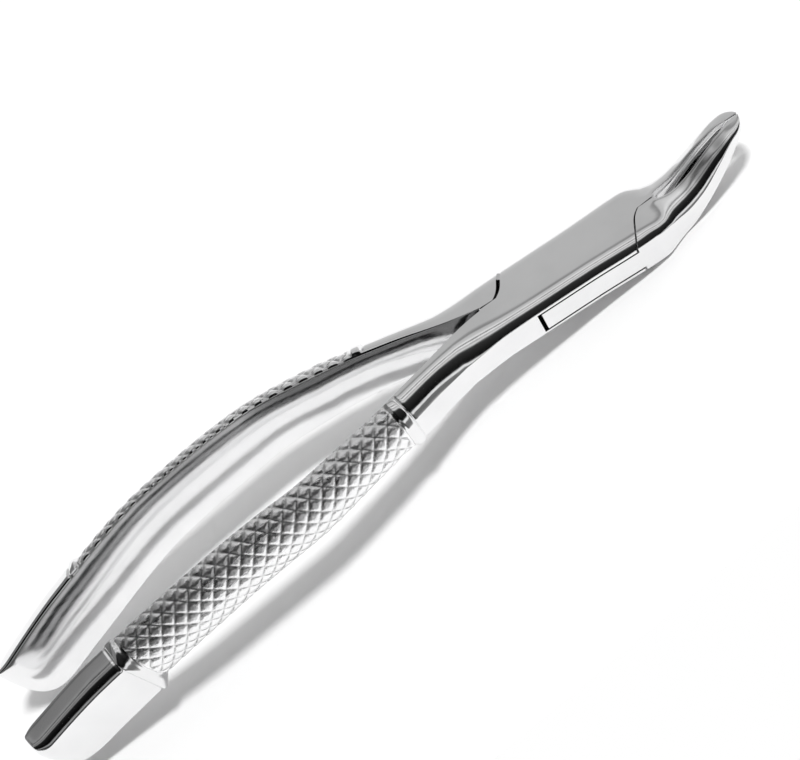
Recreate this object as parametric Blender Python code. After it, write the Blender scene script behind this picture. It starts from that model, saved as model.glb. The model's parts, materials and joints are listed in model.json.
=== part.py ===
"""Dental extraction forceps with a box-lock joint: two forged halves and a flush pivot pin.

Every size is in millimetres and is scaled to metres on the way into Blender. The tool is drawn in its own
pin frame: the pivot axis is z, +x runs to the beak tip, and the joint's flat underside is z = 0. The two
halves share one set of rules for their surfaces, so they are ground flush where they meet. An empty then
lays the closed tool down on its side, as it rests on a table.
"""
import math

import bmesh
import bpy
from mathutils import Matrix, Vector

MM = 0.001

# Overall layout along the tool, from the pivot axis
HANDLE_END = -135.8
BEAK_TIP = 41.0
LYING_TILT = math.radians(10.0)      # the tool rests on its handle ends and the beak side of the joint

# Joint
SLOT_FLOOR = 1.2                     # underside cheek thickness
SLOT_ROOF = 5.8                      # height where the upper cheek starts
SLOT_RADIUS = 13.3                   # round end wall of the slot on the beak side
SLOT_BACK_RADIUS = 14.1              # and on the handle side
SLOT_REACH = 25.0                    # how far past its end walls the slot is cut through the flanks
CHEEK_RADIUS = 13.7                  # round ends of the two cheeks on the beak side
CHEEK_BACK_RADIUS = 14.3             # and on the handle side
CHEEK_FLARE = 2.6                    # how far the cheek ends sweep out towards the middle of the tool
CHEEK_FLARE_ANGLE = 6.5              # degrees over which that sweep dies away
CLEARANCE = 0.3                      # between faces that slide or close on each other
WEB_STEP = 0.05                      # the tongue's root stands this much further off than its shoulders
PIN_RADIUS = 2.6
PIN_CLEARANCE = 0.05
PIN_TOP = 7.75

# Stations (x, value) along the tool; a smooth curve runs through each list
INNER_EDGE = [(-139, 8.0), (-118, 10.2), (-92, 12.7), (-70, 12.8), (-52, 10.0), (-45, 8.2), (-38, 6.0), (-30, 3.1),
              (-25, 1.5), (-20, 0.4), (-16.5, 0.0)]
LEAN = [(-139, 0.0), (-130, 1.2), (-60, 1.5), (-40, 1.3), (-28, 1.2), (-24, 0.9), (-20, 0.3), (-17, 0.0)]
MOUTH_EDGE = [(19, 0.0), (20.5, 1.0), (23, 1.45), (28, 1.5), (32, 1.2), (36, 0.75), (38.3, 0.25), (41, 0.12)]
THICKNESS = [(-139, 5.6), (-118, 5.6), (-70, 5.5), (-52, 5.5), (-45, 5.2), (-38, 5.3), (-28, 6.2)]
JOINT_WIDTH = [(-28, 8.6), (-18, 8.0), (0, 7.95), (12, 8.25), (16, 8.1), (19.5, 6.9), (22, 6.2), (27, 5.8),
               (33, 4.9), (36, 4.3), (38, 3.6), (40, 2.2), (41, 1.0)]
TOP = [(-139, -12.4), (-118, -3.0), (-92, 4.8), (-70, 7.9), (-52, 8.6), (-38, 8.6), (-26, 8.3), (-10, 8.0),
       (14, 8.0), (21, 8.3), (27, 9.7), (33, 12.3), (38, 14.0), (41, 14.3)]
BOTTOM = [(-139, -28.0), (-118, -18.9), (-92, -10.0), (-70, -5.7), (-52, -2.8), (-38, -1.3), (-26, -0.4),
          (-18, 0.0), (14, 0.0), (22, 1.0), (28, 4.0), (34, 7.9), (38, 11.0), (41, 13.0)]
# How far the top and the bottom fall from the inner edge to the outer flank
TOP_DROP = [(-139, 7.4), (-100, 7.2), (-70, 6.2), (-48, 4.8), (-43, 3.8), (-36, 3.7), (-30, 3.4), (-24, 2.7),
            (-18, 2.1), (-10, 1.9), (8, 1.8), (15, 1.7), (18, 2.3), (21, 3.3), (24, 4.0), (27, 3.9), (30, 3.5),
            (33, 2.7), (36, 1.6), (41, 0.3)]
BOTTOM_DROP = [(-139, 7.4), (-100, 7.2), (-70, 6.2), (-50, 3.4), (-40, 1.6), (-26, 0.9), (14, 0.6), (22, 0.3),
               (41, 0.2)]
HOLLOW = [(18, 0.0), (21, 1.3), (26, 1.8), (32, 1.5), (37, 0.8), (39, 0.2), (41, 0.0)]

END_ROUND = 8.5                      # length over which the handle end is rounded off
ROUND_FROM, ROUND_TO = -60.0, -38.0  # the handle's oval back turns into the shank's flat side here
JOIN_START, JOIN_END = 15.0, 20.0    # a half spans the whole joint inside these distances from the pivot

ACROSS = 14                          # facets across the back of a section
INNER_FACETS = 4                     # facets up its inner side
HANDLE_STEP = 5.0
JOINT_STEP = 2.0
PIN_FACETS = 48
FAR = 60.0                           # past every surface, for the cuts that run out of the solid


def slope_at(stations, i):
    """The slope where two stretches meet: level at a peak or beside a level stretch."""
    sides = [k for k in (i - 1, i) if 0 <= k < len(stations) - 1]
    chords = [(stations[k + 1][1] - stations[k][1]) / (stations[k + 1][0] - stations[k][0]) for k in sides]
    if len(chords) == 1:
        return chords[0]
    if chords[0] * chords[1] <= 0:
        return 0.0
    return 2 * chords[0] * chords[1] / (chords[0] + chords[1])


def smooth(stations, x):
    """A cubic curve through the stations that never overshoots them, and stays level outside them."""
    if x <= stations[0][0]:
        return stations[0][1]
    if x >= stations[-1][0]:
        return stations[-1][1]
    i = max(k for k in range(len(stations) - 1) if stations[k][0] <= x)
    (x0, v0), (x1, v1) = stations[i], stations[i + 1]
    span = x1 - x0
    t = (x - x0) / span
    slope0, slope1 = slope_at(stations, i), slope_at(stations, i + 1)
    return (v0 * (1 + 2 * t) * (1 - t) ** 2 + v1 * t * t * (3 - 2 * t)
            + slope0 * span * t * (1 - t) ** 2 - slope1 * span * t * t * (1 - t))


def ramp(x, start, end):
    t = min(max((x - start) / (end - start), 0.0), 1.0)
    return t * t * (3 - 2 * t)


def end_factor(x):
    """1 along the handle, falling on a rounded curve to nearly 0 at its end."""
    u = min(max((x - HANDLE_END) / END_ROUND, 0.0), 1.0)
    return max((1 - (1 - u) ** 2.3) ** (1 / 2.3), 0.12)


def inner_edge(x):
    return smooth(INNER_EDGE, x) if x < 0 else smooth(MOUTH_EDGE, x)


def outer_edge(x):
    if x < -28:
        return smooth(INNER_EDGE, x) + smooth(THICKNESS, x) * (0.75 + 0.25 * end_factor(x))
    return smooth(JOINT_WIDTH, x)


def back_curve(x, q):
    """How far the back has dropped, 0 to 1, a fraction q of the way from the inner edge to the outer."""
    q = min(max(q, 0.0), 1.0)
    oval = 1 - math.sqrt(max(1 - q * q, 0.0))
    shallow = q ** 4
    blend = ramp(x, ROUND_FROM, ROUND_TO)
    return oval * (1 - blend) + shallow * blend


def foot_curve(x, q):
    q = min(max(q, 0.0), 1.0)
    oval = 1 - math.sqrt(max(1 - q * q, 0.0))
    blend = ramp(x, ROUND_FROM, ROUND_TO)
    return oval * (1 - blend) + q ** 8 * blend


def heights(x, y):
    """The top and bottom surfaces at a point; both halves share them."""
    inner = inner_edge(x)
    q = (abs(y) - inner) / (outer_edge(x) - inner)
    middle = (smooth(TOP, x) + smooth(BOTTOM, x)) / 2
    top = smooth(TOP, x) - smooth(TOP_DROP, x) * back_curve(x, q)
    bottom = smooth(BOTTOM, x) + smooth(BOTTOM_DROP, x) * foot_curve(x, q)
    shrink = end_factor(x)
    return middle + (top - middle) * shrink, middle + (bottom - middle) * shrink


def section(x):
    """One closed section of the half whose handle is on the -y side and whose beak is on the +y side."""
    low = -outer_edge(x) if x < JOIN_START else None
    high = outer_edge(x) if x > -JOIN_START else None
    if high is None:
        high = -inner_edge(x) + ramp(x, -JOIN_END, -JOIN_START) * (outer_edge(x) + inner_edge(x))
    if low is None:
        low = inner_edge(x) - ramp(-x, -JOIN_END, -JOIN_START) * (outer_edge(x) + inner_edge(x))
    ring = []
    for i in range(ACROSS + 1):
        y = low + (high - low) * i / ACROSS
        ring.append((y, heights(x, y)[0]))
    foot_high = high + smooth(LEAN, x)
    for i in range(ACROSS, -1, -1):
        y = low + (foot_high - low) * i / ACROSS
        ring.append((y, heights(x, y)[1]))
    z_top, z_bottom = heights(x, low)
    for i in range(1, INNER_FACETS):
        t = i / INNER_FACETS
        hollow = smooth(HOLLOW, x) * 4 * t * (1 - t) if x > JOIN_END else 0.0
        ring.append((low + hollow, z_bottom + (z_top - z_bottom) * t))
    return [Vector((x, y, z)) * MM for y, z in ring]


def stations():
    xs = [HANDLE_END + END_ROUND * (1 - math.cos(math.radians(a))) for a in range(0, 90, 12)]
    while xs[-1] + HANDLE_STEP < -30:
        xs.append(xs[-1] + HANDLE_STEP)
    xs += [-28.0, -24.0, -JOIN_END]
    while xs[-1] + JOINT_STEP < BEAK_TIP:
        xs.append(xs[-1] + JOINT_STEP)
    xs.append(BEAK_TIP)
    return xs


def loft(name, rings):
    """A closed solid through rings that have the same number of points."""
    bm = bmesh.new()
    loops = [[bm.verts.new(p) for p in ring] for ring in rings]
    count = len(loops[0])
    for a, b in zip(loops, loops[1:]):
        for i in range(count):
            j = (i + 1) % count
            bm.faces.new((a[i], a[j], b[j], b[i]))
    bm.faces.new(loops[0])
    bm.faces.new(loops[-1])
    bmesh.ops.recalc_face_normals(bm, faces=bm.faces)
    mesh = bpy.data.meshes.new(name)
    bm.to_mesh(mesh)
    bm.free()
    return bpy.data.objects.new(name, mesh)


def prism(name, outline, z_low, z_high):
    """A plan outline, in millimetres, raised from z_low to z_high."""
    bm = bmesh.new()
    face = bm.faces.new([bm.verts.new(Vector((x, y, z_low)) * MM) for x, y in outline])
    raised = bmesh.ops.extrude_face_region(bm, geom=[face])["geom"]
    moved = [v for v in raised if isinstance(v, bmesh.types.BMVert)]
    bmesh.ops.translate(bm, verts=moved, vec=(0, 0, (z_high - z_low) * MM))
    bmesh.ops.recalc_face_normals(bm, faces=bm.faces)
    mesh = bpy.data.meshes.new(name)
    bm.to_mesh(mesh)
    bm.free()
    return bpy.data.objects.new(name, mesh)


def turned(outline):
    """The same outline turned half a turn about the pivot."""
    return [(-x, -y) for x, y in outline]


def arc(radius, start, end, steps):
    angles = [math.radians(start + (end - start) * i / steps) for i in range(steps + 1)]
    return [(radius * math.cos(a), radius * math.sin(a)) for a in angles]


def cheek_end(base, offset):
    """A cheek's handle-side end on +y, from outside the flank in to the middle plane."""
    points = []
    for delta in (60, 50, 44, 38, 32, 26, 20, 15, 11, 8, 5.5, 3.5, 2, 1):
        radius = base + CHEEK_FLARE * math.exp(-delta / CHEEK_FLARE_ANGLE) + offset
        angle = math.radians(180 - delta)
        points.append((radius * math.cos(angle), radius * math.sin(angle)))
    return points


def box_half_cutters():
    half = CLEARANCE / 2
    side = half + WEB_STEP
    beyond = [(-20, -half), (-FAR, -half), (-FAR, FAR), (-7, FAR)]
    slot = ([(-SLOT_REACH, -side), (-SLOT_REACH, SLOT_RADIUS)] + arc(SLOT_RADIUS, 90, 1, 26)
            + [(SLOT_REACH, side), (SLOT_REACH, -SLOT_BACK_RADIUS)] + arc(SLOT_BACK_RADIUS, 270, 181, 26))
    return [prism("shoulder_cut_handle", cheek_end(CHEEK_BACK_RADIUS, -half) + beyond, -FAR, FAR),
            prism("shoulder_cut_beak", turned(cheek_end(CHEEK_RADIUS, -half) + beyond), -FAR, FAR),
            prism("slot_cut", slot, SLOT_FLOOR, SLOT_ROOF),
            pin_hole("box_pin_hole")]


def past_tongue(radius, side):
    """Everything beyond one round end of the tongue, on its open side."""
    return [(-FAR, side), (-radius, side)] + arc(radius, 181, 240, 18) + [(-7, -FAR), (-FAR, -FAR)]


def tongue_half_cutters():
    half = CLEARANCE / 2
    side = half + WEB_STEP
    across = [(-20, half), (-FAR, half), (-FAR, -FAR), (7, -FAR)]
    cheeks = (cheek_end(CHEEK_BACK_RADIUS, half) + across
              + turned(cheek_end(CHEEK_RADIUS, half) + across))
    handle_side = past_tongue(SLOT_BACK_RADIUS - CLEARANCE, side)
    beak_side = turned(past_tongue(SLOT_RADIUS - CLEARANCE, side))
    return [prism("upper_cheek_room", cheeks, SLOT_ROOF - CLEARANCE, FAR),
            prism("lower_cheek_room", cheeks, -FAR, SLOT_FLOOR + CLEARANCE),
            prism("web_cut_handle", handle_side, -FAR, FAR), prism("web_cut_beak", beak_side, -FAR, FAR),
            pin_hole("tongue_pin_hole")]


def pin_hole(name):
    return cylinder(name, PIN_RADIUS + PIN_CLEARANCE, -20, 30)


def cylinder(name, radius, z_low, z_high):
    bm = bmesh.new()
    place = Matrix.Translation((0, 0, (z_low + z_high) / 2 * MM))
    bmesh.ops.create_cone(bm, cap_ends=True, segments=PIN_FACETS, radius1=radius * MM, radius2=radius * MM,
                          depth=(z_high - z_low) * MM, matrix=place)
    mesh = bpy.data.meshes.new(name)
    bm.to_mesh(mesh)
    bm.free()
    return bpy.data.objects.new(name, mesh)


def steel(name, color, roughness):
    material = bpy.data.materials.new(name)
    material.use_nodes = True
    shader = material.node_tree.nodes["Principled BSDF"]
    shader.inputs["Base Color"].default_value = (*color, 1)
    shader.inputs["Metallic"].default_value = 1.0
    shader.inputs["Roughness"].default_value = roughness
    return material


def add_cutters(solid, cutters, collection):
    for cutter in cutters:
        collection.objects.link(cutter)
        cutter.hide_render = True
        cutter.display_type = "WIRE"
        cut = solid.modifiers.new(cutter.name, "BOOLEAN")
        cut.operation = "DIFFERENCE"
        cut.solver = "EXACT"
        cut.object = cutter


def shade(solid):
    solid.data.shade_smooth()
    solid.data.set_sharp_from_angle(angle=math.radians(35))


def box_half():
    """Handle on -y, two cheeks with the slot between them, beak on +y."""
    solid = loft("box_half", [section(x) for x in stations()])
    shade(solid)
    return solid


def tongue_half():
    """The mirrored forging: handle on +y, a flat tongue in the slot, beak on -y."""
    flipped = [[Vector((p.x, -p.y, p.z)) for p in reversed(section(x))] for x in stations()]
    solid = loft("tongue_half", flipped)
    shade(solid)
    return solid


def main():
    for old in list(bpy.data.objects):
        bpy.data.objects.remove(old, do_unlink=True)
    parts = bpy.data.collections.new("extraction_forceps")
    tools = bpy.data.collections.new("cutters")
    bpy.context.scene.collection.children.link(parts)
    bpy.context.scene.collection.children.link(tools)

    lying = bpy.data.objects.new("lying_frame", None)
    jaw = bpy.data.objects.new("jaw_axis", None)
    parts.objects.link(lying)
    parts.objects.link(jaw)
    jaw.parent = lying

    box = box_half()
    tongue = tongue_half()
    pin = cylinder("pivot_pin", PIN_RADIUS, 0.0, PIN_TOP)
    shade(pin)
    for solid, parent, color, roughness in ((box, lying, (0.80, 0.80, 0.81), 0.12),
                                            (tongue, jaw, (0.78, 0.78, 0.79), 0.14),
                                            (pin, lying, (0.74, 0.74, 0.75), 0.18)):
        parts.objects.link(solid)
        solid.parent = parent
        solid.data.materials.append(steel(solid.name + "_steel", color, roughness))
    box_cutters = box_half_cutters()
    tongue_cutters = tongue_half_cutters()
    add_cutters(box, box_cutters, tools)
    add_cutters(tongue, tongue_cutters, tools)
    for cutter in box_cutters + tongue_cutters:
        cutter.parent = lying

    lying.rotation_euler = (0, LYING_TILT, 0)
    bpy.context.view_layer.update()
    corners = []
    depsgraph = bpy.context.evaluated_depsgraph_get()
    for solid in (box, tongue, pin):
        shape = solid.evaluated_get(depsgraph)
        corners += [shape.matrix_world @ v.co for v in shape.data.vertices]
    low = Vector([min(c[i] for c in corners) for i in range(3)])
    high = Vector([max(c[i] for c in corners) for i in range(3)])
    lying.location = (-(low.x + high.x) / 2, -(low.y + high.y) / 2, -low.z)
    bpy.context.view_layer.update()
    print("pivot at", [round(v, 6) for v in jaw.matrix_world.translation], "size", [round(v, 6) for v in high - low])


main()
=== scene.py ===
"""Looks for the extraction forceps: two finished steel halves and their pin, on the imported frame."""
import json
import math

import bmesh
import bpy
import numpy as np
from mathutils import Matrix, Vector


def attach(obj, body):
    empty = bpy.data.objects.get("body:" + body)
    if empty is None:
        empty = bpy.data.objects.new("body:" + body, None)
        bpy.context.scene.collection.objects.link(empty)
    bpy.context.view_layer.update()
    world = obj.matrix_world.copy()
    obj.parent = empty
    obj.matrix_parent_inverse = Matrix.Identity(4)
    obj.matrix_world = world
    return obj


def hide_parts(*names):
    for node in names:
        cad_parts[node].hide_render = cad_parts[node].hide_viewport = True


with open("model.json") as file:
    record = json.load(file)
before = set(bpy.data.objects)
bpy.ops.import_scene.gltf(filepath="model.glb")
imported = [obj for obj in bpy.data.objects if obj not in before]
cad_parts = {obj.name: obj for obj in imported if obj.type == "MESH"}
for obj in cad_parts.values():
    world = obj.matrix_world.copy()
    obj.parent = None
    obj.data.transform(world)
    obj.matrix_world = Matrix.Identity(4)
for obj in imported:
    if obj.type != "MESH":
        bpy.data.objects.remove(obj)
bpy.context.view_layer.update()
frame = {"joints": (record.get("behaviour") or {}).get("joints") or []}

MM = 0.001

# The same driving sizes as the CAD, in millimetres in the pin frame: x to the beak tip, z along the pin
HANDLE_END = -135.8
BEAK_TIP = 41.0
SLOT_FLOOR = 1.2
SLOT_ROOF = 5.8
SLOT_RADIUS = 13.3           # beak side
SLOT_BACK_RADIUS = 14.1      # handle side
CHEEK_RADIUS = 13.7
CHEEK_BACK_RADIUS = 14.3
CHEEK_FLARE = 2.6
CHEEK_FLARE_ANGLE = 6.5
CLEARANCE = 0.34
CHEEK_BACK_GAP = 0.5         # the open notch behind the cheeks
NOTCH_FLOOR = 3.4
NOTCH_FROM = 12              # how many points of the cheek's end the notch leaves out at the flank
SLOT_END_CLEARANCE = 0.7
WEB_STEP = 0.05
PIN_RADIUS = 2.6
PIN_CLEARANCE = 0.03
PIN_TOP = 7.4                # the head is ground away with the crown, so it doesn't show from above
PIN_CHAMFER = 0.08
PIN_HOLE_FROM = -20.0
PIN_FACETS = 96
FAR_ALONG, FAR = 60.0, 40.0  # past every surface, along the tool and in the other directions
SLOT_REACH = 25.0            # how far past its end walls the slot is cut through the flanks
MIDDLE_REACH = 20.0          # where a cheek's cut has met the middle plane
FLANK_EXIT = 7.0             # where the arc of an end has left the flank
JOINT_FROM = -28.0           # where the handles' thickness gives way to the joint's width
UNDERSIDE_ROUND_TO = -43.0   # as far as here a handle is round below as it is above

# Stations (x, value) along the tool; a smooth curve runs through each list
INNER_EDGE = [(-139, 8.0), (-118, 10.2), (-92, 12.7), (-70, 12.8), (-52, 10.0), (-45, 8.2), (-38, 6.0),
              (-30, 3.1), (-25, 1.5), (-20, 0.4), (-16.5, 0.0)]
MOUTH_EDGE = [(19, 0.0), (20.5, 1.0), (23, 1.45), (28, 1.5), (32, 1.2), (36, 0.75), (38.3, 0.25), (41, 0.12)]
THICKNESS = [(-139, 5.6), (-118, 5.6), (-70, 5.5), (-52, 5.5), (-45, 5.2), (-38, 5.3), (-28, 6.2)]
JOINT_WIDTH = [(-28, 8.6), (-18, 8.0), (0, 7.95), (12, 8.25), (16, 8.1), (19.5, 6.9), (22, 6.2), (27, 5.8),
               (33, 4.9), (36, 4.3), (38, 3.8), (41, 3.2)]
TOP = [(-139, -12.4), (-118, -3.0), (-92, 4.8), (-70, 7.9), (-52, 8.6), (-38, 8.6), (-26, 8.3), (-10, 8.0),
       (14, 8.0), (21, 8.3), (27, 9.7), (33, 12.3), (38, 14.0), (41, 14.3)]
BOTTOM = [(-139, -28.0), (-118, -18.9), (-92, -10.0), (-70, -5.7), (-52, -2.8), (-38, -1.3), (-26, -0.4),
          (-18, 0.0), (14, 0.0), (22, 1.0), (28, 4.0), (34, 7.9), (38, 11.0), (41, 13.0)]
# How far the top and the bottom fall from the inner edge to the outer flank
TOP_DROP = [(-139, 3.4), (-111.5, 3.4), (-109.5, 7.1), (-100, 7.1), (-70, 6.2), (-48, 4.8), (-43, 4.1),
            (-36, 3.9), (-30, 3.5), (-24, 2.8), (-18, 2.1), (-10, 1.8), (8, 1.7), (12, 1.6), (15, 1.6),
            (18, 2.2), (21, 3.0), (24, 3.3), (27, 3.1), (30, 2.8), (33, 2.2), (36, 1.4), (41, 0.5)]
BOTTOM_DROP = [(-139, 1.6), (-111.5, 1.6), (-109.5, 7.1), (-100, 7.1), (-70, 6.0), (-48, 3.6), (-43, 1.4),
               (-26, 0.9), (14, 0.6), (22, 0.3), (41, 0.2)]
# How that fall is shared out over the width, past the level share, FLAT. Where ROUND is 1 it is a round back,
# across the share CURL of the circle's radius. Where ROUND is 0 the share SLOPE of it is a straight fall, and
# the rest follows a curve with the exponent POWER.
ROUND = [(-139, 0.0), (-111.5, 0.0), (-109.5, 1.0), (-45, 1.0), (-26, 0.85), (-12, 0.0), (41, 0.0)]
POWER = [(-139, 7.0), (-111.5, 7.0), (-109, 2.5), (-30, 2.5), (-16, 4.2), (12, 4.2), (20, 6.0), (41, 5.0)]
SLOPE = [(-139, 0.58), (-111.5, 0.58), (-109.5, 0.0), (14, 0.0), (20, 0.6), (36, 0.5), (41, 0.3)]
FLAT = [(-139, 0.0), (-48, 0.0), (-43, 0.05), (-26, 0.15), (-10, 0.2), (14, 0.25), (22, 0.1), (34, 0.15),
        (41, 0.3)]
CURL = [(-139, 0.985), (-48, 0.985), (-42, 0.93), (-26, 0.93), (41, 0.9)]
HOLLOW = [(18, 0.0), (21, 1.3), (26, 1.8), (32, 1.5), (37, 0.8), (39, 0.2), (41, 0.0)]
EDGE_ROUND = [(-139, 0.35), (-112, 0.3), (-60, 0.3), (-45, 0.25), (-20, 0.14), (16, 0.14), (22, 0.4),
              (41, 0.3)]
INNER_ROUND = [(-139, 0.9), (-112, 0.9), (-60, 0.9), (-40, 0.7), (-30, 0.4), (-24, 0.14), (16, 0.14),
               (22, 0.2), (41, 0.3)]
# The inner face of a handle leans, so that its lower edge stands further into the gap
LEAN = [(-139, 0.0), (-130, 1.8), (-60, 2.0), (-40, 1.5), (-28, 1.2), (-24, 0.9), (-20, 0.3), (-17, 0.0)]
LEAN_POWER = 2.4

# The ends' roundings. END_LEFT is the share of the height left at the very end, where the cap closes it.
END_ROUND_TOP, END_POWER_TOP = 1.6, 2.0
END_ROUND_BOTTOM, END_POWER_BOTTOM = 9.5, 2.2
END_ROUND_PLAN, END_POWER_PLAN = 4.5, 2.0
END_LEFT = 0.04
TIP_ROUND = 2.9
SCOOP_DEPTH, SCOOP_X, SCOOP_LENGTH, SCOOP_WIDTH = 0.6, 24.0, 3.5, 3.0
JOIN_START, JOIN_END = 15.0, 20.0

# Finish that the CAD leaves out
RINGS = (-110.6, -43.3)
RING_HALF = 1.0
RING_HEIGHT = 0.4
GROOVE_DEPTH, GROOVE_OFFSET, GROOVE_WIDTH = 0.22, 0.3, 0.25   # the fine groove on each side of a ring
KNURL_FROM, KNURL_TO = RINGS[0] + 1.5, RINGS[1] - 1.5
KNURL_PITCH = 2.38
KNURL_ANGLE = math.radians(48)
KNURL_DEPTH = 0.34
KNURL_FADE = 0.4             # length over which the knurl starts and stops
PILLOW_POWER = 3.4
KNURL_EDGE, RING_EDGE = 0.97, 0.93   # share of the half width where the knurl and the rings fade out
FINISH_MARGIN = 5.0
SEAM = -33.0                 # where the plain handle mesh meets the mesh that is cut for the joint
SLANT_FADE = -41.0           # from here to the seam the sections turn upright
SIDEWAYS_FROM, SIDEWAYS_TO = -100.0, -80.0   # where the sections start to turn with the bow of the handles
SIDEWAYS_SHARE = 0.75

# Steps round a section: the top and the bottom, the flank, and the inner face
BACK, FLANK, INNER = 52, 16, 16
ACROSS_SAMPLES, SIDE_SAMPLES, PERIMETER_SAMPLES = 121, 31, 2400
# From CLUSTER_FROM to CLUSTER_TO the steps start to crowd towards the corners, as crisp edges need
CLUSTER_FROM, CLUSTER_TO = -46.0, -43.0
BACK_CLUSTER, FLANK_CLUSTER_MORE, INNER_CLUSTER = 0.8, 0.1, 0.6
ROUNDING_REACH = 1.6         # half width of the moving average, for a rounding of 1
BROAD_UNTIL, BROAD_GONE = 2.2, 3.4   # distances from an inner edge between which its own rounding fades
ROW, PLAIN_ROW, CAP_ROW = 0.2, 0.4, 0.5   # steps between sections on the knurl, the plain steel and the cap
SHARP_ANGLE = math.radians(38)


def table(stations):
    """Arrays of places, values and slopes for a cubic curve that never overshoots its stations."""
    x = np.array([s[0] for s in stations], float)
    v = np.array([s[1] for s in stations], float)
    chord = np.diff(v) / np.diff(x)
    slope = np.empty_like(v)
    slope[0], slope[-1] = chord[0], chord[-1]
    for i in range(1, len(v) - 1):
        a, b = chord[i - 1], chord[i]
        slope[i] = 0.0 if a * b <= 0 else 2 * a * b / (a + b)
    return x, v, slope


def smooth(stations, at):
    x, v, slope = table(stations)
    at = np.clip(at, x[0], x[-1])
    i = np.clip(np.searchsorted(x, at, side="right") - 1, 0, len(x) - 2)
    span = x[i + 1] - x[i]
    t = (at - x[i]) / span
    return (v[i] * (1 + 2 * t) * (1 - t) ** 2 + v[i + 1] * t * t * (3 - 2 * t)
            + slope[i] * span * t * (1 - t) ** 2 - slope[i + 1] * span * t * t * (1 - t))


def ramp(x, start, end):
    t = np.clip((x - start) / (end - start), 0.0, 1.0)
    return t * t * (3 - 2 * t)


def rounded_end(x, start, reach, power):
    """Rises from 0 at start to 1 at start + reach, as a quarter of a superellipse."""
    u = min(max((x - start) / reach, 0.0), 1.0)
    return max((1 - (1 - u) ** power) ** (1 / power), END_LEFT)


def inner_edge(x):
    if x >= 0:
        return smooth(MOUTH_EDGE, x)
    half_thickness = smooth(THICKNESS, x) / 2
    rounding = rounded_end(x, HANDLE_END, END_ROUND_PLAN, END_POWER_PLAN)
    return smooth(INNER_EDGE, x) + half_thickness * (1 - rounding)


def outer_edge(x):
    if x < JOINT_FROM:
        half_thickness = smooth(THICKNESS, x) / 2
        rounding = rounded_end(x, HANDLE_END, END_ROUND_PLAN, END_POWER_PLAN)
        return smooth(INNER_EDGE, x) + half_thickness * (1 + rounding)
    tip = rounded_end(-x, -BEAK_TIP, TIP_ROUND, 2.0)
    inner = inner_edge(x)
    return inner + (smooth(JOINT_WIDTH, x) - inner) * tip


def fall(x, q):
    """0 on the level share of the width, then down to 1 at the flank."""
    flat, power, roundness = smooth(FLAT, x), smooth(POWER, x), smooth(ROUND, x)
    q = np.clip((q - flat) / (1 - flat), 0.0, 1.0)
    curl, slope = smooth(CURL, x), smooth(SLOPE, x)
    arc_fall = (1 - np.sqrt(1 - (curl * q) ** 2)) / (1 - math.sqrt(1 - curl ** 2))
    return roundness * arc_fall + (1 - roundness) * (slope * q + (1 - slope) * q ** power)


def middle(x):
    return (smooth(TOP, x) + smooth(BOTTOM, x)) / 2


def heights(x, y):
    inner = inner_edge(x)
    q = np.clip((np.abs(y) - inner) / (outer_edge(x) - inner), 0.0, 1.0)
    top = smooth(TOP, x) - smooth(TOP_DROP, x) * fall(x, q)
    roundness = smooth(ROUND, x) if x < UNDERSIDE_ROUND_TO else 0.0
    bottom_fall = roundness * fall(x, q) + (1 - roundness) * q ** 6
    bottom = smooth(BOTTOM, x) + smooth(BOTTOM_DROP, x) * bottom_fall
    if x > JOIN_START:
        scoop = np.exp(-((x - SCOOP_X) / SCOOP_LENGTH) ** 2 - (y / SCOOP_WIDTH) ** 2)
        top = top - SCOOP_DEPTH * ramp(x, JOIN_START + 3, JOIN_END + 2) * scoop
    centre = middle(x)
    top = centre + (top - centre) * rounded_end(x, HANDLE_END, END_ROUND_TOP, END_POWER_TOP)
    bottom = centre + (bottom - centre) * rounded_end(x, HANDLE_END, END_ROUND_BOTTOM, END_POWER_BOTTOM)
    return top, bottom


def side_limits(x):
    """How far the box half reaches to -y and to +y."""
    low, high = -outer_edge(x), outer_edge(x)
    if x > JOIN_START:
        low = inner_edge(x) - (1 - ramp(x, JOIN_START, JOIN_END)) * (outer_edge(x) + inner_edge(x))
    if x < -JOIN_START:
        high = -inner_edge(x) + ramp(x, -JOIN_END, -JOIN_START) * (outer_edge(x) + inner_edge(x))
    return low, high


def cluster(n, amount):
    """n steps from 0 to 1, closer together at both ends."""
    t = np.linspace(0, 1, n + 1)
    return t - amount * np.sin(2 * np.pi * t) / (2 * np.pi)


def averaged(points, reach):
    """A closed row of points, each moved to the weighted mean of those within reach of it."""
    reach = max(int(round(float(reach))), 1)
    kernel = np.hanning(2 * reach + 3)[1:-1]
    kernel /= kernel.sum()
    padded = np.vstack([points[-reach:], points, points[:reach]])
    return np.c_[np.convolve(padded[:, 0], kernel, "valid"), np.convolve(padded[:, 1], kernel, "valid")]


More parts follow.
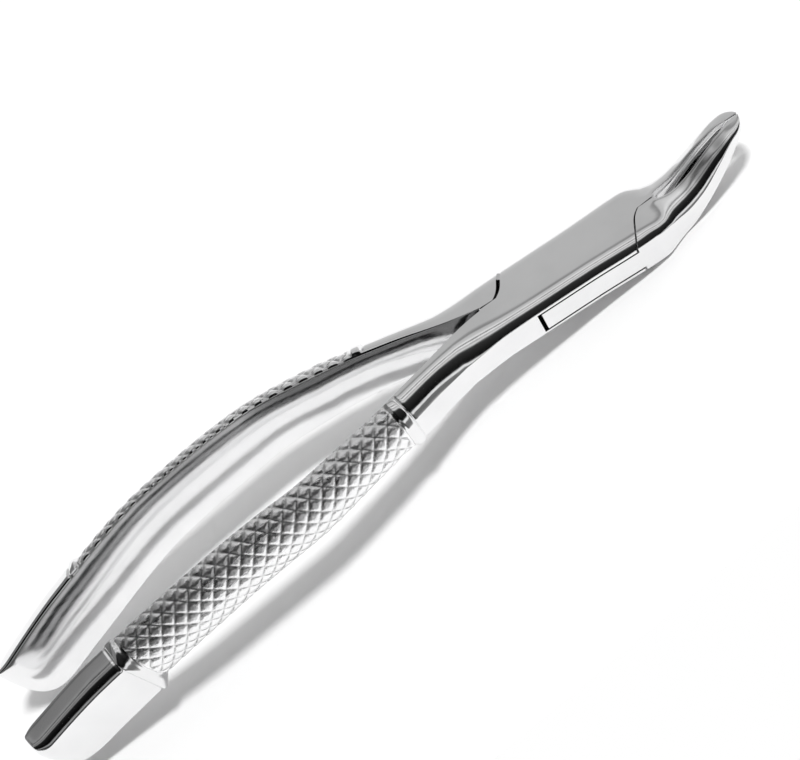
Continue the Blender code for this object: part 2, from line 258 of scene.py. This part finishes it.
def section(x):
    """The closed section of the box half at x, as points in y and z, with its corners rounded over."""
    low, high = side_limits(x)
    across = (1 - np.cos(np.linspace(0, np.pi, ACROSS_SAMPLES))) / 2
    y = high + (low - high) * across
    top, bottom = heights(x, y)
    rise = np.linspace(0, 1, SIDE_SAMPLES)
    hollow = smooth(HOLLOW, x) * 4 * rise * (1 - rise) if x > JOIN_END else 0 * rise
    lean = smooth(LEAN, x) * (1 - (1 - rise) ** LEAN_POWER)
    low_side = np.c_[low + hollow, top[-1] + (bottom[-1] - top[-1]) * rise]
    high_side = np.c_[high + lean[::-1], bottom[0] + (top[0] - bottom[0]) * rise]
    parts = [np.c_[y, top], low_side, np.c_[y, bottom][::-1], high_side]
    ring = np.vstack([p[:-1] for p in parts])
    closed = np.vstack([ring, ring[:1]])
    along = np.r_[0, np.cumsum(np.hypot(*np.diff(closed, axis=0).T))]
    length = along[-1]
    corners = along[np.cumsum([0] + [len(p) - 1 for p in parts])]
    # Even spacing, then moving averages as wide as the rounding, wider at the inner edges than at the flank
    even = np.linspace(0, length, PERIMETER_SAMPLES, endpoint=False)
    points = np.c_[np.interp(even, along, closed[:, 0]), np.interp(even, along, closed[:, 1])]
    reach = ROUNDING_REACH / length * PERIMETER_SAMPLES
    crisp = averaged(points, smooth(EDGE_ROUND, x) * reach)
    broad = averaged(points, smooth(INNER_ROUND, x) * reach)
    from_corner = np.minimum(np.abs(even - corners[3]), np.minimum(even, length - even))
    share = 1 - ramp(from_corner, BROAD_UNTIL, BROAD_GONE)
    rounded = crisp + (broad - crisp) * share[:, None]
    amount = BACK_CLUSTER * ramp(x, CLUSTER_FROM, CLUSTER_TO)
    steps = [(BACK, amount), (FLANK, amount + FLANK_CLUSTER_MORE), (BACK, amount), (INNER, INNER_CLUSTER)]
    places = np.concatenate([start + (end - start) * cluster(n, crowding)[:-1]
                             for start, end, (n, crowding) in zip(corners, corners[1:], steps)])
    grid = np.r_[even, length]
    loop = np.vstack([rounded, rounded[:1]])
    return np.c_[np.interp(places, grid, loop[:, 0]), np.interp(places, grid, loop[:, 1])]


def pillow(t):
    """Height across one cell, from 0 in the groove at t = 0 to 1 in the middle at t = 0.5."""
    return 1 - (1 - np.minimum(t / 0.5, 1.0)) ** PILLOW_POWER


def knurl_relief(x, s, half_width):
    """Depth of the knurl's crossed grooves, a distance s round the back from its outermost line."""
    u = (x * math.sin(KNURL_ANGLE) + s * math.cos(KNURL_ANGLE)) / KNURL_PITCH
    v = (x * math.sin(KNURL_ANGLE) - s * math.cos(KNURL_ANGLE)) / KNURL_PITCH
    crown = pillow(np.abs(u - np.round(u))) * pillow(np.abs(v - np.round(v)))
    edge = np.abs(s) / half_width
    depth = KNURL_DEPTH * (1 - ramp(edge, KNURL_EDGE, 1.0))
    fade = ramp(x, KNURL_FROM, KNURL_FROM + KNURL_FADE) * (1 - ramp(x, KNURL_TO - KNURL_FADE, KNURL_TO))
    return depth * fade * (1 - crown)


def ring_relief(x):
    """A raised band with rounded corners and a fine groove on each side, at both ends of the knurl."""
    height = 0.0
    for centre in RINGS:
        d = abs(x - centre) / RING_HALF
        height += RING_HEIGHT * max(1 - d ** 4, 0.0) ** 0.5
        from_groove = abs(x - centre) - RING_HALF - GROOVE_OFFSET
        height -= GROOVE_DEPTH * math.exp(-(from_groove / GROOVE_WIDTH) ** 2)
    return height


def finish_section(x, ring):
    """Adds the knurl and the rings to the back of a section."""
    if not KNURL_FROM - FINISH_MARGIN < x < KNURL_TO + FINISH_MARGIN:
        return ring
    closed = np.vstack([ring[-1:], ring, ring[:1]])
    tangent = closed[2:] - closed[:-2]
    normal = np.c_[tangent[:, 1], -tangent[:, 0]]
    normal /= np.linalg.norm(normal, axis=1)[:, None]
    centre = ring.mean(axis=0)
    if np.sum((ring - centre) * normal) < 0:
        normal = -normal
    last = 2 * BACK + FLANK
    steps = np.r_[0, np.cumsum(np.hypot(*np.diff(ring[:last + 1], axis=0).T))]
    outermost = (steps[BACK] + steps[BACK + FLANK]) / 2
    s = steps - outermost
    half_width = steps[-1] / 2
    lift = np.zeros(len(ring))
    edge_fade = 1 - ramp(np.abs(s) / half_width, RING_EDGE, 1.0)
    lift[:last + 1] = ring_relief(x) * edge_fade
    if KNURL_FROM < x < KNURL_TO:
        lift[:last + 1] -= knurl_relief(x, s, half_width)
    return ring + normal * lift[:, None]


def slanted(x, ring):
    """Turns a handle section about its middle, square to the way the handle runs, as points in x, y and z."""
    low, high = side_limits(x)
    centre = np.array([(low + high) / 2, middle(x)])
    step = 1.0
    before, after = side_limits(x - step), side_limits(x + step)
    slope_y = (sum(after) - sum(before)) / (4 * step)
    slope_z = (middle(x + step) - middle(x - step)) / (2 * step)
    upright = ramp(x, SLANT_FADE, SEAM)
    lean_y = math.atan(slope_y) * (1 - upright) * SIDEWAYS_SHARE * ramp(x, SIDEWAYS_FROM, SIDEWAYS_TO)
    lean_z = math.atan(slope_z) * (1 - upright)
    across, rise = (ring - centre).T
    rise = rise * math.cos(lean_z)
    return np.c_[x - rise * math.sin(lean_z) - across * math.sin(lean_y),
                 centre[0] + across * math.cos(lean_y), centre[1] + rise * math.cos(lean_z)]


def lofted(name, xs):
    """A closed mesh through the sections at xs, still in the pin frame and in metres."""
    rings = []
    for x in xs:
        ring = finish_section(x, section(x))
        rings.append(slanted(x, ring) if x < SEAM else np.c_[np.full(len(ring), x), ring])
    count = len(rings[0])
    points = np.vstack(rings) * MM
    faces = []
    for row in range(len(rings) - 1):
        a, b = row * count, (row + 1) * count
        for i in range(count):
            j = (i + 1) % count
            faces.append((a + i, a + j, b + j, b + i))
    mesh = bpy.data.meshes.new(name)
    mesh.from_pydata([tuple(p) for p in points], [], faces)
    knurled = [int(KNURL_FROM < x < KNURL_TO and i < 2 * BACK + FLANK) for x in xs[:-1] for i in range(count)]
    mesh.polygons.foreach_set("material_index", knurled)
    obj = bpy.data.objects.new(name, mesh)
    bpy.context.scene.collection.objects.link(obj)
    return obj, count


def cap_ends(obj, count, first, last):
    bm = bmesh.new()
    bm.from_mesh(obj.data)
    bm.verts.ensure_lookup_table()
    total = len(bm.verts)
    if first:
        bm.faces.new([bm.verts[i] for i in range(count)])
    if last:
        bm.faces.new([bm.verts[i] for i in range(total - count, total)])
    bmesh.ops.recalc_face_normals(bm, faces=bm.faces)
    bm.to_mesh(obj.data)
    bm.free()


def prism(outline, z_low, z_high):
    bm = bmesh.new()
    face = bm.faces.new([bm.verts.new(Vector((x, y, z_low)) * MM) for x, y in outline])
    raised = bmesh.ops.extrude_face_region(bm, geom=[face])["geom"]
    moved = [v for v in raised if isinstance(v, bmesh.types.BMVert)]
    bmesh.ops.translate(bm, verts=moved, vec=(0, 0, (z_high - z_low) * MM))
    bmesh.ops.recalc_face_normals(bm, faces=bm.faces)
    mesh = bpy.data.meshes.new("cutter")
    bm.to_mesh(mesh)
    bm.free()
    obj = bpy.data.objects.new("cutter", mesh)
    bpy.context.scene.collection.objects.link(obj)
    return obj


def turned(outline):
    return [(-x, -y) for x, y in outline]


def arc(radius, start, end, steps):
    angles = np.radians(np.linspace(start, end, steps + 1))
    return [(radius * math.cos(a), radius * math.sin(a)) for a in angles]


def cheek_end(base, offset):
    """The end of a cheek: an arc about the pin that flares out where it meets the middle of the tool."""
    points = []
    for delta in 0.6 + 60 * np.linspace(1, 0, 40) ** 2:
        radius = base + CHEEK_FLARE * math.exp(-delta / CHEEK_FLARE_ANGLE) + offset
        angle = math.radians(180 - delta)
        points.append((radius * math.cos(angle), radius * math.sin(angle)))
    return points


def pin_hole():
    circle = arc(PIN_RADIUS + PIN_CLEARANCE, 0, 360 - 360 / PIN_FACETS, PIN_FACETS - 1)
    return prism(circle, PIN_HOLE_FROM, PIN_TOP + PIN_CLEARANCE)


def box_half_cutters():
    """What comes off the box half: both cheeks beyond their ends, the slot, and the pin's hole."""
    half = CLEARANCE / 2
    side = half + WEB_STEP
    beyond = [(-MIDDLE_REACH, -half), (-FAR_ALONG, -half), (-FAR_ALONG, FAR), (-FLANK_EXIT, FAR)]
    slot = ([(-SLOT_REACH, -side), (-SLOT_REACH, SLOT_RADIUS)] + arc(SLOT_RADIUS, 90, 1, 60)
            + [(SLOT_REACH, side), (SLOT_REACH, -SLOT_BACK_RADIUS)] + arc(SLOT_BACK_RADIUS, 270, 181, 60))
    return [prism(cheek_end(CHEEK_BACK_RADIUS - CHEEK_BACK_GAP, -half) + beyond, -FAR, FAR),
            prism(turned(cheek_end(CHEEK_RADIUS, -half) + beyond), -FAR, FAR),
            prism(slot, SLOT_FLOOR, SLOT_ROOF), pin_hole()]


def tongue_half_cutters():
    """What comes off the other half: room for both cheeks, the notch, the tongue's ends and the pin's hole."""
    half = CLEARANCE / 2
    side = half + WEB_STEP
    across = [(-MIDDLE_REACH, half), (-FAR_ALONG, half), (-FAR_ALONG, -FAR), (FLANK_EXIT, -FAR)]
    cheeks = cheek_end(CHEEK_BACK_RADIUS, half) + across + turned(cheek_end(CHEEK_RADIUS, half) + across)

    def past_tongue(radius):
        start, end = [(-FAR_ALONG, side), (-radius, side)], [(-FLANK_EXIT, -FAR), (-FAR_ALONG, -FAR)]
        return start + arc(radius, 181, 240, 40) + end

    notch = (cheek_end(CHEEK_BACK_RADIUS - CHEEK_BACK_GAP, -half)[NOTCH_FROM:]
             + cheek_end(CHEEK_BACK_RADIUS, half)[:NOTCH_FROM:-1])
    return [prism(cheeks, SLOT_ROOF - CLEARANCE, FAR), prism(cheeks, -FAR, SLOT_FLOOR + CLEARANCE),
            prism(notch, NOTCH_FLOOR, FAR),
            prism(past_tongue(SLOT_BACK_RADIUS - SLOT_END_CLEARANCE), -FAR, FAR),
            prism(turned(past_tongue(SLOT_RADIUS - CLEARANCE)), -FAR, FAR), pin_hole()]


def apply_modifiers(obj):
    depsgraph = bpy.context.evaluated_depsgraph_get()
    mesh = bpy.data.meshes.new_from_object(obj.evaluated_get(depsgraph))
    obj.modifiers.clear()
    old = obj.data
    obj.data = mesh
    bpy.data.meshes.remove(old)


def mirrored(obj):
    obj.data.transform(Matrix.Diagonal((1, -1, 1, 1)))
    obj.data.flip_normals()


def forged_half(name, mirror):
    """A whole half: the knurled handle, and the joint and beak cut to fit the other half."""
    end = HANDLE_END + END_ROUND_BOTTOM * (1 - np.cos(np.radians(np.linspace(0, 88, 60))))
    cap = np.arange(end[-1] + CAP_ROW, RINGS[0] - 2, CAP_ROW)
    grip = np.arange(RINGS[0] - 2, RINGS[1] + 2, ROW)
    neck = np.arange(RINGS[1] + 2, SEAM - 0.3, PLAIN_ROW)
    handle, count = lofted(name, np.concatenate([end, cap, grip, neck, [SEAM]]))
    cap_ends(handle, count, True, False)
    tip = BEAK_TIP - TIP_ROUND * (1 - np.cos(np.radians(np.linspace(90, 0, 16))))
    joint_xs = np.concatenate([np.arange(SEAM, tip[0] - 0.2, PLAIN_ROW), tip])
    joint, count = lofted(name + "_joint", joint_xs)
    cap_ends(joint, count, True, True)
    if mirror:
        mirrored(handle)
        mirrored(joint)
    cutters = tongue_half_cutters() if mirror else box_half_cutters()
    for cutter in cutters:
        cut = joint.modifiers.new("cut", "BOOLEAN")
        cut.operation = "DIFFERENCE"
        cut.solver = "EXACT"
        cut.object = cutter
    apply_modifiers(joint)
    for cutter in cutters:
        bpy.data.objects.remove(cutter)
    # The joint's cap at the seam goes, and the two meshes are welded there
    bm = bmesh.new()
    bm.from_mesh(joint.data)
    at_seam = [f for f in bm.faces if all(abs(v.co.x - SEAM * MM) < 1e-7 for v in f.verts)]
    bmesh.ops.delete(bm, geom=at_seam, context="FACES")
    bm.from_mesh(handle.data)
    bmesh.ops.remove_doubles(bm, verts=[v for v in bm.verts if abs(v.co.x - SEAM * MM) < 1e-6], dist=2e-6)
    bmesh.ops.recalc_face_normals(bm, faces=bm.faces)
    open_edges = sum(1 for e in bm.edges if len(e.link_faces) != 2)
    print(name, "faces", len(bm.faces), "open edges", open_edges)
    bm.to_mesh(handle.data)
    bm.free()
    bpy.data.objects.remove(joint)
    handle.data.shade_smooth()
    handle.data.set_sharp_from_angle(angle=SHARP_ANGLE)
    return handle


def pin():
    """The rivet that both halves turn on."""
    bm = bmesh.new()
    rings = [(0.0, 0.0), (PIN_RADIUS - PIN_CHAMFER, 0.0), (PIN_RADIUS, PIN_CHAMFER),
             (PIN_RADIUS, PIN_TOP - PIN_CHAMFER), (PIN_RADIUS - PIN_CHAMFER, PIN_TOP), (0.0, PIN_TOP)]
    profile = [bm.verts.new((r * MM, 0, z * MM)) for r, z in rings]
    edges = [bm.edges.new(pair) for pair in zip(profile, profile[1:])]
    bmesh.ops.spin(bm, geom=profile + edges, angle=2 * math.pi, steps=PIN_FACETS, axis=(0, 0, 1),
                   cent=(0, 0, 0))
    bmesh.ops.remove_doubles(bm, verts=bm.verts, dist=1e-7)
    bmesh.ops.recalc_face_normals(bm, faces=bm.faces)
    mesh = bpy.data.meshes.new("pivot_rivet")
    bm.to_mesh(mesh)
    bm.free()
    mesh.shade_smooth()
    mesh.set_sharp_from_angle(angle=SHARP_ANGLE)
    obj = bpy.data.objects.new("pivot_rivet", mesh)
    bpy.context.scene.collection.objects.link(obj)
    return obj


# The finish, plain (False) and knurled (True): the least and most roughness, and stops (place, brightness) of
# the metal's tone, by the smears where it is plain and by how far the surface stands out where it is knurled;
# on the knurl the dark low stop is painted shade in the grooves and the bright top stops are worn crests
ROUGHNESS = {False: (0.05, 0.16), True: (0.24, 0.34)}
TONE_AND_GROOVE_SHADE = {False: [(0.3, 0.84), (0.5, 0.88), (0.7, 0.91)], True: [(0.45, 0.25), (0.49, 0.92), (0.52, 1.0)]}


def polished_steel(name, seed, knurled=False):
    """Mirror-polished steel with fine lines and faint smears; a knurl's grooves get painted shade, its crests
    wear.
    """
    material = bpy.data.materials.new(name)
    material.use_nodes = True
    nodes, links = material.node_tree.nodes, material.node_tree.links
    shader = nodes["Principled BSDF"]
    shader.inputs["Metallic"].default_value = 1.0

    def node(kind, **values):
        made = nodes.new(kind)
        for key, value in values.items():
            made.inputs[key].default_value = value
        return made

    coords = nodes.new("ShaderNodeTexCoord")
    along = node("ShaderNodeMapping", Scale=(60, 900, 900), Location=(seed, 0, 0))
    links.new(coords.outputs["Object"], along.inputs["Vector"])
    lines = node("ShaderNodeTexNoise", Scale=2.0, Detail=6.0)
    links.new(along.outputs["Vector"], lines.inputs["Vector"])
    smears = node("ShaderNodeTexNoise", Scale=90.0, Detail=3.0)
    links.new(coords.outputs["Object"], smears.inputs["Vector"])
    polish = nodes.new("ShaderNodeMix")
    polish.inputs["Factor"].default_value = 0.5
    links.new(lines.outputs["Fac"], polish.inputs["A"])
    links.new(smears.outputs["Fac"], polish.inputs["B"])
    rough = node("ShaderNodeMapRange")
    rough.inputs["From Min"].default_value = 0.3
    rough.inputs["From Max"].default_value = 0.7
    rough.inputs["To Min"].default_value, rough.inputs["To Max"].default_value = ROUGHNESS[knurled]
    links.new(polish.outputs["Result"], rough.inputs["Value"])
    links.new(rough.outputs["Result"], shader.inputs["Roughness"])
    tone_and_groove_shade = nodes.new("ShaderNodeValToRGB")
    # On the knurl the more hollow the surface, the darker the metal: painted shade in the grooves; the crests
    # come out brightest, as wear
    if knurled:
        geometry = nodes.new("ShaderNodeNewGeometry")
        links.new(geometry.outputs["Pointiness"], tone_and_groove_shade.inputs["Fac"])
    else:
        links.new(smears.outputs["Fac"], tone_and_groove_shade.inputs["Fac"])
    tone_and_groove_shade.color_ramp.elements.new(0.5)
    for element, (place, level) in zip(tone_and_groove_shade.color_ramp.elements, TONE_AND_GROOVE_SHADE[knurled]):
        element.position = place
        element.color = (level, level, level * 1.005, 1)
    links.new(tone_and_groove_shade.outputs["Color"], shader.inputs["Base Color"])
    bump = node("ShaderNodeBump", Strength=0.04, Distance=0.0001)
    if knurled:
        grain = node("ShaderNodeTexNoise", Scale=2600.0, Detail=2.0)
        links.new(coords.outputs["Object"], grain.inputs["Vector"])
        bump.inputs["Strength"].default_value = 0.8
        links.new(grain.outputs["Fac"], bump.inputs["Height"])
    else:
        links.new(lines.outputs["Fac"], bump.inputs["Height"])
    links.new(bump.outputs["Normal"], shader.inputs["Normal"])
    return material


joint = frame["joints"][0]
pivot = Vector(joint["pos_m"])
up = -Vector(joint["axis"])
tilt = math.atan2(up.x, up.z)
lie_down = Matrix.Translation(pivot) @ Matrix.Rotation(tilt, 4, "Y")

box = forged_half("box_half_forging", False)
tongue = forged_half("tongue_half_forging", True)
rivet = pin()
for piece, body, node, slot, seed in ((box, "box_side", "box_half", "box_half_steel", 0.0),
                                      (tongue, "tongue_side", "tongue_half", "tongue_half_steel", 3.7),
                                      (rivet, "box_side", "pivot_pin", "pin_steel", 7.1)):
    piece.data.transform(lie_down)
    piece.data.materials.append(polished_steel(slot + "_finish", seed))
    if piece is not rivet:
        piece.data.materials.append(polished_steel(slot + "_knurl", seed, knurled=True))
    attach(piece, body)
    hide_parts(node)


# The studio round the tool: (angle, brightness), from the horizon behind it at 0, over the top, to below the
# horizon in front
STRIPS = [(0, 0.75), (8, 0.6), (30, 0.5), (54, 0.5), (60, 0.3), (64, 0.25), (68, 0.55), (76, 0.6), (79, 0.8),
          (82, 0.8), (85, 0.25), (87, 0.2), (89, 0.85), (93, 0.85), (96, 0.3), (100, 0.7), (104, 0.7),
          (107, 0.2), (112, 0.03), (156, 0.0), (159, 0.8), (166, 0.9), (169, 0.16), (184, 0.16), (200, 0.75)]
STRIPS_END = 200
AMBIENT_FILL = 0.22
FLOOR_REACH, FLOOR_FRONT = 3.0, -0.075
KEY_ENERGY, KEY_SPREAD = 2.1, math.radians(12)
KEY_AZIMUTH, KEY_ELEVATION = math.radians(-35), math.radians(73)


def studio():
    """White paper on the floor, and long soft boxes over the tool, with a dark stretch in front of it."""
    floor_mesh = bpy.data.meshes.new("floor")
    size, front = FLOOR_REACH, FLOOR_FRONT
    corners = [(-size, front, 0), (size, front, 0), (size, size, 0), (-size, size, 0)]
    floor_mesh.from_pydata(corners, [], [(0, 1, 2, 3)])
    floor = bpy.data.objects.new("floor", floor_mesh)
    bpy.context.scene.collection.objects.link(floor)
    paper = bpy.data.materials.new("white_sweep")
    paper.use_nodes = True
    shader = paper.node_tree.nodes["Principled BSDF"]
    shader.inputs["Base Color"].default_value = (0.95, 0.95, 0.95, 1)
    shader.inputs["Roughness"].default_value = 0.8
    floor.data.materials.append(paper)
    world = bpy.data.worlds.new("studio")
    bpy.context.scene.world = world
    world.use_nodes = True
    nodes, links = world.node_tree.nodes, world.node_tree.links
    background = nodes["Background"]

    def math_node(operation, a, b=None):
        made = nodes.new("ShaderNodeMath")
        made.operation = operation
        for socket, value in zip(made.inputs, (a, b)):
            if isinstance(value, (int, float)):
                socket.default_value = value
            elif value is not None:
                links.new(value, socket)
        return made.outputs[0]

    coords = nodes.new("ShaderNodeTexCoord")
    split = nodes.new("ShaderNodeSeparateXYZ")
    links.new(coords.outputs["Generated"], split.inputs[0])
    forward = math_node("MULTIPLY", split.outputs["Y"], -1.0)
    angle = math_node("ARCTAN2", split.outputs["Z"], forward)
    raised = math_node("ADD", angle, math.radians(STRIPS_END - 180))
    share = math_node("DIVIDE", raised, math.radians(STRIPS_END))
    ramp_node = nodes.new("ShaderNodeValToRGB")
    elements = ramp_node.color_ramp.elements
    while len(elements) < len(STRIPS):
        elements.new(0.5)
    for element, (place, _) in zip(elements, reversed(STRIPS)):
        element.position = 1 - place / STRIPS_END
    for element, (_, level) in zip(elements, reversed(STRIPS)):
        element.color = (level, level, level, 1)
    links.new(share, ramp_node.inputs["Fac"])
    # Towards the handles the room behind is darker
    side = nodes.new("ShaderNodeMapRange")
    side.interpolation_type = "SMOOTHSTEP"
    for key, value in (("From Min", -0.40), ("From Max", -0.05), ("To Min", 0.35), ("To Max", 1.0)):
        side.inputs[key].default_value = value
    links.new(split.outputs["X"], side.inputs["Value"])
    level = math_node("MULTIPLY", ramp_node.outputs["Color"], side.outputs["Result"])
    # White for the camera beyond the floor, and soft light from the rest of the room on what isn't a mirror
    path = nodes.new("ShaderNodeLightPath")
    filled = math_node("MULTIPLY_ADD", path.outputs["Is Diffuse Ray"], AMBIENT_FILL)
    links.new(level, filled.node.inputs[2])
    seen = math_node("MAXIMUM", filled, path.outputs["Is Camera Ray"])
    links.new(seen, background.inputs["Color"])
    background.inputs["Strength"].default_value = 1.0
    bpy.context.scene.view_settings.view_transform = "Standard"


def direction(azimuth, elevation):
    level = math.cos(elevation)
    return Vector((level * math.cos(azimuth), level * math.sin(azimuth), math.sin(elevation)))


def key_light():
    """A soft sun from in front of the tool, which throws its shadow back under it."""
    light = bpy.data.lights.new("key", "SUN")
    light.energy = KEY_ENERGY
    light.angle = KEY_SPREAD
    obj = bpy.data.objects.new("key", light)
    bpy.context.scene.collection.objects.link(obj)
    obj.rotation_euler = direction(KEY_AZIMUTH, KEY_ELEVATION).to_track_quat("Z", "Y").to_euler()
    # Its mirror image would be a hard white spot, so reflections leave it out
    obj.visible_glossy = False


def camera():
    """Looks down at the tool from the box half's side, turned so that the tool runs corner to corner."""
    data = bpy.data.cameras.new("camera")
    data.sensor_width = 36.0
    data.lens = 115.4
    data.clip_start = 0.01
    obj = bpy.data.objects.new("camera", data)
    bpy.context.scene.collection.objects.link(obj)
    azimuth, elevation, roll = math.radians(-82.53), math.radians(42.28), math.radians(-45.47)
    distance = 0.4978
    target = pivot + Vector((-0.039203, 0.00603, 0.005287))
    back = direction(azimuth, elevation)
    right = Vector((0, 0, 1)).cross(back).normalized()
    up = back.cross(right)
    turned_right = right * math.cos(roll) + up * math.sin(roll)
    turned_up = up * math.cos(roll) - right * math.sin(roll)
    axes = Matrix((turned_right, turned_up, back)).transposed()
    obj.matrix_world = Matrix.Translation(target + back * distance) @ axes.to_4x4()
    bpy.context.scene.camera = obj


studio()
key_light()
camera()
bpy.context.view_layer.update()
